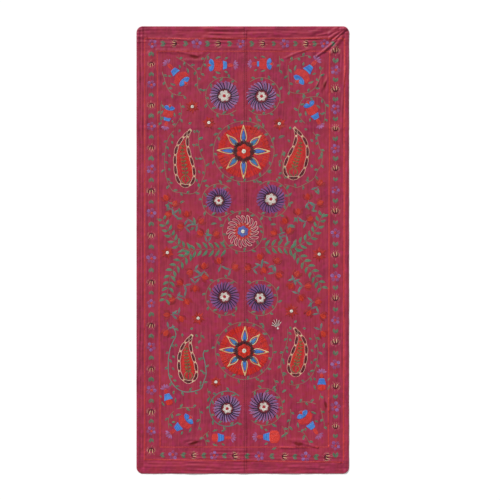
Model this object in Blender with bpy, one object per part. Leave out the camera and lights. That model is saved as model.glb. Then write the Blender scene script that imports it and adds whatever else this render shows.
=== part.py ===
"""A suzani: two widths of dyed cloth sewn side by side and embroidered, hemmed all round, lying face up.

Units are metres and +Z is up. The origin is on the surface under the middle of the cloth, +Y runs along its length,
and the embroidered face is on top.
"""

import collections
import math

import bmesh
import bpy

COLLECTION_NAME = "suzani"

# The whole cloth
WIDTH = 1.050
LENGTH = 2.210
CORNER_RADIUS = 0.032
CLOTH_THICKNESS = 0.0015

# The hem, turned under all round
HEM_WIDTH = 0.020
HEM_THICKNESS = 0.0026
HEM_EDGE_THICKNESS = 0.0018
HEM_ROUNDING = 0.004

# The seam that joins the two widths, with its allowances pressed open underneath
SEAM_X = 0.010
SEAM_GAP = 0.0003
SEAM_ALLOWANCE = 0.0075
SEAM_THICKNESS = 0.0024
SEAM_SLOPE = 0.003

# Grid spacing: close in the creased margins, wider across the field
SIDE_ZONE = 0.150
END_ZONE = 0.190
MARGIN_STEP = 0.008
FIELD_STEP = 0.024

CLOTH_COLOUR = (0.33, 0.035, 0.06, 1.0)
CLOTH_ROUGHNESS = 0.62

# A soft fold is a rounded ridge between two places. Both lie on the cloth's plan, measured from its middle.
Fold = collections.namedtuple("Fold", "from_x from_y to_x to_y half_width height")
FOLDS = [
    # drawn out of the top right-hand corner
    Fold(0.466, 1.094, 0.426, 1.067, 0.016, 0.0040),
    Fold(0.505, 1.096, 0.431, 1.049, 0.015, 0.0055),
    Fold(0.490, 1.052, 0.453, 1.003, 0.018, 0.0050),
    Fold(0.453, 1.003, 0.436, 0.973, 0.018, 0.0035),
    # along the top margin
    Fold(0.384, 1.085, 0.337, 1.071, 0.018, 0.0040),
    Fold(0.337, 1.071, 0.283, 1.070, 0.016, 0.0025),
    Fold(0.372, 1.055, 0.416, 1.050, 0.014, 0.0025),
    Fold(-0.187, 1.090, 0.001, 1.090, 0.017, 0.0030),
    Fold(-0.187, 1.052, 0.011, 1.052, 0.015, 0.0025),
    Fold(0.036, 1.067, 0.115, 1.065, 0.016, 0.0025),
    Fold(0.145, 1.065, 0.234, 1.062, 0.016, 0.0025),
    # inside the top left-hand corner
    Fold(-0.419, 0.986, -0.280, 0.981, 0.018, 0.0030),
    Fold(-0.461, 0.973, -0.448, 0.939, 0.016, 0.0025),
    # either side of five dimples, where the stitches have drawn the cloth in
    Fold(-0.275, 0.966, -0.205, 0.966, 0.013, 0.0020),
    Fold(-0.285, 0.936, -0.200, 0.934, 0.015, 0.0030),
    Fold(0.389, 0.850, 0.389, 0.791, 0.014, 0.0025),
    Fold(0.419, 0.855, 0.419, 0.785, 0.014, 0.0025),
    Fold(-0.275, -0.966, -0.205, -0.966, 0.013, 0.0020),
    Fold(-0.280, -0.936, -0.200, -0.935, 0.015, 0.0025),
    Fold(0.240, -0.969, 0.305, -0.971, 0.013, 0.0020),
    Fold(0.230, -0.938, 0.310, -0.943, 0.015, 0.0025),
    Fold(0.394, -0.741, 0.394, -0.800, 0.014, 0.0025),
    Fold(0.425, -0.738, 0.425, -0.790, 0.014, 0.0025),
    # along the bottom margin
    Fold(-0.478, -1.067, -0.122, -1.070, 0.015, 0.0025),
    Fold(0.234, -1.072, 0.372, -1.072, 0.015, 0.0025),
    Fold(0.451, -1.018, 0.478, -1.048, 0.016, 0.0030),
]

# The crease of an old storage fold, straight across the cloth
CREASE_Y = 0.605
CREASE_HALF_WIDTH = 0.014
CREASE_HEIGHT = 0.0012

Band = collections.namedtuple("Band", "start end longest_step")


def clear_scene():
    for old in list(bpy.data.objects):
        bpy.data.objects.remove(old, do_unlink=True)


def stations(bands):
    """Grid lines along one side of a panel, evenly spaced within each band."""
    lines = [bands[0].start]
    for band in bands:
        run = band.end - band.start
        steps = max(1, math.ceil(abs(run) / band.longest_step - 0.01))
        lines += [band.start + run * step / steps for step in range(1, steps + 1)]
    return lines


def column_stations(outer_x, seam_x):
    """Grid lines across a panel, from its hemmed edge to its seam."""
    inward = math.copysign(1.0, seam_x - outer_x)
    hem_shoulder = outer_x + inward * HEM_ROUNDING
    hem_stitch = outer_x + inward * (HEM_WIDTH - HEM_ROUNDING)
    hem_end = outer_x + inward * HEM_WIDTH
    zone_end = outer_x + inward * SIDE_ZONE
    seam_foot = seam_x - inward * (SEAM_ALLOWANCE + SEAM_SLOPE)
    seam_shoulder = seam_x - inward * SEAM_ALLOWANCE
    return stations([
        Band(outer_x, hem_shoulder, HEM_ROUNDING),
        Band(hem_shoulder, hem_stitch, MARGIN_STEP),
        Band(hem_stitch, hem_end, HEM_ROUNDING),
        Band(hem_end, zone_end, MARGIN_STEP),
        Band(zone_end, seam_foot, FIELD_STEP),
        Band(seam_foot, seam_shoulder, SEAM_SLOPE),
        Band(seam_shoulder, seam_x, SEAM_ALLOWANCE),
    ])


def row_stations():
    """Grid lines along a panel, from its bottom hem to its top one."""
    end = LENGTH / 2
    return stations([
        Band(-end, HEM_ROUNDING - end, HEM_ROUNDING),
        Band(HEM_ROUNDING - end, HEM_WIDTH - HEM_ROUNDING - end, MARGIN_STEP),
        Band(HEM_WIDTH - HEM_ROUNDING - end, HEM_WIDTH - end, HEM_ROUNDING),
        Band(HEM_WIDTH - end, END_ZONE - end, MARGIN_STEP),
        Band(END_ZONE - end, CREASE_Y - CREASE_HALF_WIDTH, FIELD_STEP),
        Band(CREASE_Y - CREASE_HALF_WIDTH, CREASE_Y + CREASE_HALF_WIDTH, CREASE_HALF_WIDTH),
        Band(CREASE_Y + CREASE_HALF_WIDTH, end - END_ZONE, FIELD_STEP),
        Band(end - END_ZONE, end - HEM_WIDTH, MARGIN_STEP),
        Band(end - HEM_WIDTH, end - HEM_WIDTH + HEM_ROUNDING, HEM_ROUNDING),
        Band(end - HEM_WIDTH + HEM_ROUNDING, end - HEM_ROUNDING, MARGIN_STEP),
        Band(end - HEM_ROUNDING, end, HEM_ROUNDING),
    ])


def ridge(distance, half_width, height):
    """A rounded ridge that dies away to nothing at its half width."""
    if distance >= half_width:
        return 0.0
    return height * math.cos(math.pi / 2 * distance / half_width) ** 2


def distance_to_fold(x, y, fold):
    run_x = fold.to_x - fold.from_x
    run_y = fold.to_y - fold.from_y
    along = ((x - fold.from_x) * run_x + (y - fold.from_y) * run_y) / (run_x**2 + run_y**2)
    along = min(1.0, max(0.0, along))
    return math.hypot(x - fold.from_x - along * run_x, y - fold.from_y - along * run_y)


def lift(x, y):
    """How far the cloth's underside stands off the surface."""
    highest = ridge(abs(y - CREASE_Y), CREASE_HALF_WIDTH, CREASE_HEIGHT)
    for fold in FOLDS:
        highest = max(highest, ridge(distance_to_fold(x, y, fold), fold.half_width, fold.height))
    return highest


def thickness(x, y):
    """One layer in the field, and more where the hem and the seam allowances lie under it."""
    from_edge = min(WIDTH / 2 - abs(x), LENGTH / 2 - abs(y))
    from_seam = abs(x - SEAM_X)
    tiny = 1e-6
    if from_edge < tiny:
        return HEM_EDGE_THICKNESS
    if from_edge < HEM_WIDTH - tiny:
        return HEM_THICKNESS
    if from_seam < SEAM_ALLOWANCE + tiny:
        return SEAM_THICKNESS
    return CLOTH_THICKNESS


def rounded(x, y):
    """Draws the cloth's square corner in to a quarter circle."""
    across = max(0.0, abs(x) - WIDTH / 2 + CORNER_RADIUS) / CORNER_RADIUS
    along = max(0.0, abs(y) - LENGTH / 2 + CORNER_RADIUS) / CORNER_RADIUS
    inward_x = CORNER_RADIUS * across * (1 - math.sqrt(1 - along**2 / 2))
    inward_y = CORNER_RADIUS * along * (1 - math.sqrt(1 - across**2 / 2))
    return x - math.copysign(inward_x, x), y - math.copysign(inward_y, y)


def cloth_material(name):
    material = bpy.data.materials.new(name)
    material.use_nodes = True
    shader = material.node_tree.nodes["Principled BSDF"]
    shader.inputs["Base Color"].default_value = CLOTH_COLOUR
    shader.inputs["Roughness"].default_value = CLOTH_ROUGHNESS
    shader.inputs["Metallic"].default_value = 0.0
    return material


def build_panel(name, outer_x, seam_x, collection):
    """One loom width: a grid on its stations, laid over the folds and thickened upwards."""
    columns = column_stations(outer_x, seam_x)
    rows = row_stations()
    shape = bmesh.new()
    bmesh.ops.create_grid(shape, x_segments=len(columns) - 1, y_segments=len(rows) - 1, size=0.5)
    extruded = bmesh.ops.extrude_face_region(shape, geom=shape.faces[:])
    upper = {element for element in extruded["geom"] if isinstance(element, bmesh.types.BMVert)}
    for vert in shape.verts:
        x = columns[round((vert.co.x + 0.5) * (len(columns) - 1))]
        y = rows[round((vert.co.y + 0.5) * (len(rows) - 1))]
        plan_x, plan_y = rounded(x, y)
        height = lift(plan_x, plan_y)
        if vert in upper:
            height += thickness(x, y)
        vert.co = (plan_x, plan_y, height)
    bmesh.ops.recalc_face_normals(shape, faces=shape.faces)
    mesh = bpy.data.meshes.new(name)
    shape.to_mesh(mesh)
    shape.free()
    mesh.materials.append(cloth_material(name + "_cloth"))
    mesh.shade_smooth()
    panel = bpy.data.objects.new(name, mesh)
    collection.objects.link(panel)
    return panel


clear_scene()
suzani = bpy.data.collections.new(COLLECTION_NAME)
bpy.context.scene.collection.children.link(suzani)
build_panel("panel_left", -WIDTH / 2, SEAM_X - SEAM_GAP / 2, suzani)
build_panel("panel_right", WIDTH / 2, SEAM_X + SEAM_GAP / 2, suzani)
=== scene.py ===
import collections
import math

import bpy
import numpy as np
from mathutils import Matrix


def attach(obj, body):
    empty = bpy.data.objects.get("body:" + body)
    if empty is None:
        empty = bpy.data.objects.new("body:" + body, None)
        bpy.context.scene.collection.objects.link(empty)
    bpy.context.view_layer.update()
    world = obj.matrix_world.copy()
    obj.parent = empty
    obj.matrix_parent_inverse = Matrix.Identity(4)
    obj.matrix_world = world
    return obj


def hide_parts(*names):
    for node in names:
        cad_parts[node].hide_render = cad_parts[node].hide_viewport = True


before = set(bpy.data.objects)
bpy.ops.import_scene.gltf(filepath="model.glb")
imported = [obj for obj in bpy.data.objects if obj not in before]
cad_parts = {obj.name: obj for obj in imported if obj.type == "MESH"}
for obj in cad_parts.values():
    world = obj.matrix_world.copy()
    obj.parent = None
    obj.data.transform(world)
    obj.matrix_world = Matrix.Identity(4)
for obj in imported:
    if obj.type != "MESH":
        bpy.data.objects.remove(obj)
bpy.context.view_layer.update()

# Ground cloth
# Two loom widths of crimson satin, sewn side by side and hemmed all round. The hem is turned under 2 cm and pressed.
# Folding and handling have left soft folds in the margins, and the embroidered cloth is finely puckered everywhere.
CLOTH_WIDTH = 1.050
CLOTH_LENGTH = 2.210
CORNER_RADIUS = 0.032
SEAM_X = 0.010
SEAM_GAP = 0.0003
MARGIN_ZONE = 0.175
MARGIN_STEP = 0.0032
FIELD_STEP = 0.0080
SATIN_CRIMSON = "#A02A3C"
SATIN_ROSE = "#B23A52"
SATIN_PLUM = "#86203E"
SATIN_MAGENTA = "#AA2458"

# Thickness of the cloth, in metres, by the distance from its edge and from its seam
HEM_PLACES = (0.0, 0.0015, 0.0040, 0.0170, 0.0195)
HEM_THICKNESSES = (0.0008, 0.0020, 0.0027, 0.0027, 0.0014)
SEAM_PLACES = (0.0, 0.0012, 0.0030, 0.0070, 0.0105)
SEAM_THICKNESSES = (0.0019, 0.0023, 0.0026, 0.0024, 0.0015)

# A soft fold is a rounded ridge between two places on the cloth's plan, as in the solid.
Fold = collections.namedtuple("Fold", "from_x from_y to_x to_y half_width height")
FOLDS = [
    # drawn out of the top right-hand corner
    Fold(0.466, 1.094, 0.426, 1.067, 0.016, 0.0040),
    Fold(0.505, 1.096, 0.431, 1.049, 0.015, 0.0055),
    Fold(0.490, 1.052, 0.453, 1.003, 0.018, 0.0050),
    Fold(0.453, 1.003, 0.436, 0.973, 0.018, 0.0035),
    # along the top margin
    Fold(0.384, 1.085, 0.337, 1.071, 0.018, 0.0040),
    Fold(0.337, 1.071, 0.283, 1.070, 0.016, 0.0025),
    Fold(0.372, 1.055, 0.416, 1.050, 0.014, 0.0025),
    Fold(-0.187, 1.090, 0.001, 1.090, 0.017, 0.0030),
    Fold(-0.187, 1.052, 0.011, 1.052, 0.015, 0.0025),
    Fold(0.036, 1.067, 0.115, 1.065, 0.016, 0.0025),
    Fold(0.145, 1.065, 0.234, 1.062, 0.016, 0.0025),
    # inside the top left-hand corner
    Fold(-0.419, 0.986, -0.280, 0.981, 0.018, 0.0030),
    Fold(-0.461, 0.973, -0.448, 0.939, 0.016, 0.0025),
    # either side of five dimples
    Fold(-0.275, 0.966, -0.205, 0.966, 0.013, 0.0020),
    Fold(-0.285, 0.936, -0.200, 0.934, 0.015, 0.0030),
    Fold(0.389, 0.850, 0.389, 0.791, 0.014, 0.0025),
    Fold(0.419, 0.855, 0.419, 0.785, 0.014, 0.0025),
    Fold(-0.275, -0.966, -0.205, -0.966, 0.013, 0.0020),
    Fold(-0.280, -0.936, -0.200, -0.935, 0.015, 0.0025),
    Fold(0.240, -0.969, 0.305, -0.971, 0.013, 0.0020),
    Fold(0.230, -0.938, 0.310, -0.943, 0.015, 0.0025),
    Fold(0.394, -0.741, 0.394, -0.800, 0.014, 0.0025),
    Fold(0.425, -0.738, 0.425, -0.790, 0.014, 0.0025),
    # along the bottom margin
    Fold(-0.478, -1.067, -0.122, -1.070, 0.015, 0.0025),
    Fold(0.234, -1.072, 0.372, -1.072, 0.015, 0.0025),
    Fold(0.451, -1.018, 0.478, -1.048, 0.016, 0.0030),
]
STORAGE_CREASE = Fold(-0.525, 0.605, 0.525, 0.605, 0.014, 0.0012)

# Sharper creases, too fine for the solid
CREASES = [
    # top margin, from the left
    Fold(-0.508, 1.090, -0.468, 1.040, 0.008, 0.0030),
    Fold(-0.476, 1.045, -0.409, 1.041, 0.008, 0.0016),
    Fold(-0.364, 1.047, -0.264, 1.035, 0.008, 0.0024),
    Fold(-0.330, 1.066, -0.290, 1.065, 0.008, 0.0018),
    Fold(-0.188, 1.050, -0.063, 1.048, 0.007, 0.0016),
    Fold(-0.162, 1.070, 0.016, 1.068, 0.008, 0.0026),
    Fold(-0.014, 1.088, 0.188, 1.079, 0.008, 0.0020),
    Fold(0.194, 1.075, 0.298, 1.072, 0.008, 0.0022),
    Fold(0.194, 1.044, 0.378, 1.044, 0.008, 0.0018),
    # inside the top guard line
    Fold(-0.375, 0.978, -0.333, 0.971, 0.008, 0.0022),
    Fold(-0.326, 0.982, -0.222, 0.959, 0.010, 0.0042),
    Fold(-0.285, 0.922, -0.250, 0.898, 0.008, 0.0022),
    Fold(0.069, 0.992, 0.188, 0.988, 0.008, 0.0018),
    Fold(0.212, 0.948, 0.264, 0.972, 0.009, 0.0034),
    Fold(0.264, 0.972, 0.326, 0.992, 0.008, 0.0024),
    # drawn out of the top right-hand corner
    Fold(0.373, 1.059, 0.430, 1.071, 0.008, 0.0030),
    Fold(0.430, 1.071, 0.507, 1.099, 0.009, 0.0046),
    Fold(0.447, 1.034, 0.513, 1.094, 0.009, 0.0056),
    Fold(0.396, 0.979, 0.461, 1.035, 0.010, 0.0060),
    Fold(0.364, 0.957, 0.430, 1.002, 0.009, 0.0036),
    Fold(0.418, 0.845, 0.394, 0.800, 0.010, 0.0048),
    Fold(0.391, 0.863, 0.365, 0.813, 0.009, 0.0030),
    # down the right-hand margin
    Fold(0.509, 0.906, 0.495, 0.791, 0.007, 0.0026),
    Fold(0.495, 0.791, 0.489, 0.598, 0.007, 0.0022),
    Fold(0.512, 0.560, 0.512, -0.620, 0.006, 0.0018),
    # down the left-hand margin
    Fold(-0.497, 1.020, -0.499, -0.980, 0.006, 0.0018),
    Fold(-0.476, 0.700, -0.474, -0.700, 0.006, 0.0012),
    # bottom margin, from the left
    Fold(-0.465, -1.052, -0.285, -1.056, 0.008, 0.0018),
    Fold(-0.270, -0.956, -0.221, -0.941, 0.009, 0.0040),
    Fold(-0.147, -0.988, 0.016, -0.990, 0.007, 0.0018),
    Fold(-0.147, -1.005, 0.065, -1.011, 0.007, 0.0020),
    Fold(-0.132, -1.025, 0.016, -1.030, 0.007, 0.0018),
    Fold(-0.004, -1.035, 0.095, -1.040, 0.007, 0.0018),
    Fold(0.189, -0.975, 0.258, -0.978, 0.009, 0.0034),
    Fold(0.240, -0.936, 0.278, -0.962, 0.009, 0.0042),
    Fold(0.281, -0.950, 0.368, -0.975, 0.009, 0.0034),
    Fold(0.305, -0.878, 0.330, -0.896, 0.008, 0.0022),
    Fold(0.427, -0.969, 0.469, -1.042, 0.009, 0.0028),
    Fold(0.398, -0.746, 0.407, -0.778, 0.009, 0.0036),
    Fold(0.389, -0.796, 0.419, -0.855, 0.009, 0.0024),
    Fold(0.229, -1.076, 0.401, -1.078, 0.008, 0.0018),
    Fold(-0.493, -1.082, -0.147, -1.086, 0.008, 0.0020),
]

# Five dimples where shade is painted into the satin as a darker red. Each fades out from its middle.
Dimple = collections.namedtuple("Dimple", "x y heading half_length half_width")
SHADED_DIMPLES = [
    Dimple(-0.240, 0.953, -12, 0.036, 0.016),
    Dimple(0.403, 0.818, 72, 0.032, 0.013),
    Dimple(-0.242, -0.953, 20, 0.036, 0.016),
    Dimple(0.275, -0.957, -14, 0.036, 0.018),
    Dimple(0.410, -0.766, -76, 0.026, 0.012),
]
# Painted shade: the dark red that the satin takes in the dimples' hollows.
DIMPLE_PAINTED_SHADE = "#72140E"


def linear(hex_colour):
    """An sRGB hex colour as linear RGBA."""
    channels = [int(hex_colour[place:place + 2], 16) / 255 for place in (1, 3, 5)]
    return [c / 12.92 if c <= 0.04045 else ((c + 0.055) / 1.055) ** 2.4 for c in channels] + [1.0]


def add_node(tree, kind, inputs=None, **options):
    """Adds a shader node with its options, and fills or links its inputs."""
    node = tree.nodes.new("ShaderNode" + kind)
    for option, value in options.items():
        setattr(node, option, value)
    for socket, value in (inputs or {}).items():
        if isinstance(value, bpy.types.NodeSocket):
            tree.links.new(value, node.inputs[socket])
        else:
            node.inputs[socket].default_value = value
    return node


def ridge(x, y, fold):
    """The height of one fold over each place, dying away to nothing at its half width."""
    run_x = fold.to_x - fold.from_x
    run_y = fold.to_y - fold.from_y
    along = ((x - fold.from_x) * run_x + (y - fold.from_y) * run_y) / (run_x**2 + run_y**2)
    along = np.clip(along, 0.0, 1.0)
    distance = np.hypot(x - fold.from_x - along * run_x, y - fold.from_y - along * run_y)
    return fold.height * np.cos(np.pi / 2 * np.minimum(distance / fold.half_width, 1.0)) ** 2


def ripples(x, y, seed, wavelength, heading, spread, waves=7):
    """Irregular shallow waves, mostly between 0 and 1. The heading is the way they follow one another."""
    random = np.random.default_rng(seed)
    total = np.zeros_like(x)
    for _ in range(waves):
        angle = math.radians(heading + random.uniform(-spread, spread))
        length = wavelength * random.uniform(0.7, 1.5)
        offset = random.uniform(0.0, length)
        total += np.sin(2 * np.pi * (x * math.cos(angle) + y * math.sin(angle) + offset) / length)
    return np.clip(0.5 + total / (2.2 * math.sqrt(waves)), 0.0, 1.2)


def fade(distance, near, far):
    """1 up to the near distance, 0 beyond the far one, and smooth between."""
    step = np.clip((far - distance) / (far - near), 0.0, 1.0)
    return step * step * (3 - 2 * step)


def puckers(x, y):
    """The fine unevenness of the cloth: ripples along its margins and its seam, and small hollows in the field."""
    from_side = CLOTH_WIDTH / 2 - np.abs(x)
    from_end = CLOTH_LENGTH / 2 - np.abs(y)
    in_side = fade(from_side, 0.030, 0.075)
    in_end = fade(from_end, 0.070, 0.130)
    side_patches = ripples(x, y, 3, 0.260, 80, 15)
    end_patches = ripples(x, y, 5, 0.300, 10, 15)
    side = 0.0017 * in_side * side_patches * ripples(x, y, 11, 0.019, 0, 4)
    end = 0.0022 * in_end * end_patches * ripples(x, y, 12, 0.022, 90, 6)
    field = 0.0010 * ripples(x, y, 13, 0.070, 0, 180) + 0.0005 * ripples(x, y, 14, 0.022, 0, 180, 11)
    seam = 0.0007 * fade(np.abs(x - SEAM_X), 0.012, 0.045) * ripples(x, y, 15, 0.026, 90, 12)
    return side + end + field + seam


def rise(x, y):
    """How far the cloth's underside stands off the surface that it lies on."""
    highest = ridge(x, y, STORAGE_CREASE)
    for fold in FOLDS + CREASES:
        highest = np.maximum(highest, ridge(x, y, fold))
    return highest + puckers(x, y)


def thickness(x, y):
    """One layer in the field, and more over the hem and the seam's allowances."""
    from_edge = np.minimum(CLOTH_WIDTH / 2 - np.abs(x), CLOTH_LENGTH / 2 - np.abs(y))
    hem = np.interp(from_edge, HEM_PLACES, HEM_THICKNESSES)
    seam = np.interp(np.abs(x - SEAM_X), SEAM_PLACES, SEAM_THICKNESSES)
    return np.where(from_edge > HEM_PLACES[-1], np.maximum(hem, seam), hem)


def cloth_top(x, y):
    """The height of the embroidered face."""
    return rise(x, y) + thickness(x, y)


def rounded(x, y):
    """Draws the cloth's square corners in to quarter circles."""
    across = np.maximum(0.0, np.abs(x) - CLOTH_WIDTH / 2 + CORNER_RADIUS) / CORNER_RADIUS
    along = np.maximum(0.0, np.abs(y) - CLOTH_LENGTH / 2 + CORNER_RADIUS) / CORNER_RADIUS
    inward_x = CORNER_RADIUS * across * (1 - np.sqrt(1 - along**2 / 2))
    inward_y = CORNER_RADIUS * along * (1 - np.sqrt(1 - across**2 / 2))
    return x - np.copysign(inward_x, x), y - np.copysign(inward_y, y)


def new_piece(name, points, faces, material):
    """A smooth mesh piece that moves with the cloth."""
    mesh = bpy.data.meshes.new(name)
    mesh.from_pydata(points.tolist(), [], faces.tolist())
    mesh.shade_smooth()
    mesh.materials.append(material)
    piece = bpy.data.objects.new(name, mesh)
    bpy.context.scene.collection.objects.link(piece)
    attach(piece, "root")
    return piece


def grid_lines(start, end, half):
    """Lines from one side of a panel to the other: close in the creased margins, closer still along the hems and the
    seam, and wider in the field. The half is the cloth's own, from its middle to its edge."""
    lines = [start, end]
    lines += [sign * (half - place) for sign in (-1, 1) for place in HEM_PLACES]
    if half < CLOTH_LENGTH / 2:
        lines += [SEAM_X + sign * place for sign in (-1, 1) for place in SEAM_PLACES[1:]]
    here = -half
    while here < half:
        here += MARGIN_STEP if abs(here) > half - MARGIN_ZONE else FIELD_STEP
        if min(abs(here - line) for line in lines) > MARGIN_STEP * 0.5:
            lines.append(here)
    return np.array(sorted(line for line in set(lines) if start <= line <= end))


def woven_panel(name, left_x, right_x, satin):
    """One loom width: an upper and a lower face on the same lines, closed round the edge."""
    columns = grid_lines(left_x, right_x, CLOTH_WIDTH / 2)
    lines = grid_lines(-CLOTH_LENGTH / 2, CLOTH_LENGTH / 2, CLOTH_LENGTH / 2)
    across, along = np.meshgrid(columns, lines)
    x, y = rounded(across, along)
    under = rise(x, y)
    upper = np.stack([x, y, under + thickness(across, along)], axis=-1).reshape(-1, 3)
    lower = np.stack([x, y, under], axis=-1).reshape(-1, 3)
    index = np.arange(x.size).reshape(x.shape)
    corners = [index[:-1, :-1], index[:-1, 1:], index[1:, 1:], index[1:, :-1]]
    top = np.stack(corners, axis=-1).reshape(-1, 4)
    bottom = top[:, ::-1] + x.size
    rim = np.concatenate([index[0, :-1], index[:-1, -1], index[-1, :0:-1], index[:0:-1, 0]])
    following = np.roll(rim, -1)
    wall = np.stack([rim + x.size, following + x.size, following, rim], axis=-1)
    return new_piece(name, np.concatenate([upper, lower]), np.concatenate([top, bottom, wall]), satin)


def crimson_satin():
    """Silk and cotton satin: a soft shine over crimson that runs to rose and plum. Its streaks follow the warp, and
    turn across the cloth in the puckered end margins. Shade is painted into five dimples as a darker red.

    A satin's floats lie about 0.3 mm apart. They are drawn 1.6 mm apart so that they show.
    """
    material = bpy.data.materials.new("silk and cotton satin, crimson")
    material.use_nodes = True
    tree = material.node_tree
    shader = tree.nodes["Principled BSDF"]
    place = add_node(tree, "TexCoord").outputs["Object"]
    warp = add_node(tree, "Mapping", {"Vector": place, "Scale": (1.0, 0.05, 1.0)}).outputs["Vector"]
    warp_slubs = add_node(tree, "TexNoise", {"Vector": warp, "Scale": 170.0, "Detail": 4.0}).outputs["Fac"]
    weft = add_node(tree, "Mapping", {"Vector": place, "Scale": (0.05, 1.0, 1.0)}).outputs["Vector"]
    weft_slubs = add_node(tree, "TexNoise", {"Vector": weft, "Scale": 170.0, "Detail": 4.0}).outputs["Fac"]
    along = add_node(tree, "SeparateXYZ", {"Vector": place}).outputs["Y"]
    from_middle = add_node(tree, "Math", {0: along}, operation="ABSOLUTE").outputs["Value"]
    at_end = add_node(tree, "MapRange", {"Value": from_middle, "From Min": 0.97, "From Max": 1.04}).outputs["Result"]
    slubs = add_node(tree, "Mix", {"Factor": at_end, "A": warp_slubs, "B": weft_slubs}).outputs["Result"]
    cloud = add_node(tree, "TexNoise", {"Vector": place, "Scale": 9.0, "Detail": 3.0}).outputs["Fac"]
    patch = add_node(tree, "TexNoise", {"Vector": place, "Scale": 42.0, "Detail": 2.0}).outputs["Fac"]
    blend = add_node(tree, "MapRange", {"Value": cloud, "From Min": 0.35, "From Max": 0.65}).outputs["Result"]
    body = add_node(tree, "Mix", {"Factor": blend, "A": linear(SATIN_PLUM), "B": linear(SATIN_CRIMSON)},
                    data_type="RGBA")
    bloom = add_node(tree, "MapRange", {"Value": patch, "From Min": 0.46, "From Max": 0.68, "To Max": 0.7})
    bloomed = add_node(tree, "Mix", {"Factor": bloom.outputs["Result"], "A": body.outputs["Result"],
                                     "B": linear(SATIN_MAGENTA)}, data_type="RGBA")
    streak = add_node(tree, "MapRange", {"Value": slubs, "From Min": 0.35, "From Max": 0.75, "To Max": 0.8})
    colour = add_node(tree, "Mix", {"Factor": streak.outputs["Result"], "A": bloomed.outputs["Result"],
                                    "B": linear(SATIN_ROSE)}, data_type="RGBA")
    # Painted shade: the satin's colour darkens raggedly towards the middle of each dimple.
    shadow = 0.0
    for dimple in SHADED_DIMPLES:
        size = (dimple.half_length, dimple.half_width, 1.0)
        turn = (0.0, 0.0, math.radians(dimple.heading))
        near = add_node(tree, "Mapping", {"Vector": place, "Location": (dimple.x, dimple.y, 0.0), "Rotation": turn,
                                          "Scale": size}, vector_type="TEXTURE")
        spot = add_node(tree, "TexGradient", {"Vector": near.outputs["Vector"]}, gradient_type="SPHERICAL")
        deeper = add_node(tree, "Math", {0: spot.outputs["Fac"], 1: shadow}, operation="MAXIMUM")
        shadow = deeper.outputs["Value"]
    ragged = add_node(tree, "Math", {0: patch, 1: 0.9, 2: shadow}, operation="MULTIPLY_ADD").outputs["Value"]
    painted_shade = add_node(tree, "MapRange", {"Value": ragged, "From Min": 0.70, "From Max": 1.05, "To Max": 0.85})
    shade_painted_colour = add_node(tree, "Mix", {"Factor": painted_shade.outputs["Result"], "A": colour.outputs["Result"],
                                      "B": linear(DIMPLE_PAINTED_SHADE)}, data_type="RGBA")
    tree.links.new(shade_painted_colour.outputs["Result"], shader.inputs["Base Color"])
    shader.inputs["Roughness"].default_value = 0.55
    shader.inputs["IOR"].default_value = 1.5
    shader.inputs["Specular IOR Level"].default_value = 0.3
    shader.inputs["Sheen Weight"].default_value = 0.08
    shader.inputs["Sheen Roughness"].default_value = 0.4
    shader.inputs["Sheen Tint"].default_value = linear("#E8A0B8")
    floats = add_node(tree, "TexWave", {"Vector": place, "Scale": 100.0, "Distortion": 1.2, "Detail": 2.0,
                                        "Detail Scale": 3.0}, bands_direction="X")
    bump = add_node(tree, "Bump", {"Height": floats.outputs["Fac"], "Strength": 0.35, "Distance": 0.0003})
    tree.links.new(bump.outputs["Normal"], shader.inputs["Normal"])
    return material


satin = crimson_satin()
left_panel = woven_panel("panel_left_satin", -CLOTH_WIDTH / 2, SEAM_X - SEAM_GAP / 2, satin)
right_panel = woven_panel("panel_right_satin", SEAM_X + SEAM_GAP / 2, CLOTH_WIDTH / 2, satin)
for panel, node_name, width in ((left_panel, "panel_left", CLOTH_WIDTH / 2 + SEAM_X),
                                (right_panel, "panel_right", CLOTH_WIDTH / 2 - SEAM_X)):
    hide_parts(node_name)

# Guard lines
# Four straight pairs of lines frame the border. They are two close rows of chain stitch in orange-red silk floss,
# worked with a hook through the cloth. Drawing here is in centimetres from the cloth's middle, as it was chalked.
CM = 0.01
STITCH_LENGTH = 0.45
STITCH_CREST = 0.09
STITCH_SINK = 0.03
LAYER_RISE = 0.05
ROW_WIDTH = 0.34

Row = collections.namedtuple("Row", "path width layer")
GuardLine = collections.namedtuple("GuardLine", "from_x from_y to_x to_y")
GUARD_LINES = [
    GuardLine(-48.4, 104.5, -48.4, -104.0),
    GuardLine(-42.2, 98.2, -40.8, -97.4),
    GuardLine(50.2, 104.5, 49.8, -104.0),
    GuardLine(43.0, 98.2, 42.4, -97.4),
    GuardLine(-48.4, 104.5, 50.2, 104.5),
    GuardLine(-42.2, 98.2, 43.0, 98.2),
    GuardLine(-40.8, -97.4, 42.4, -97.4),
    GuardLine(-48.4, -103.5, 49.8, -104.9),
]
tone_random = np.random.default_rng(2210)


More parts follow.
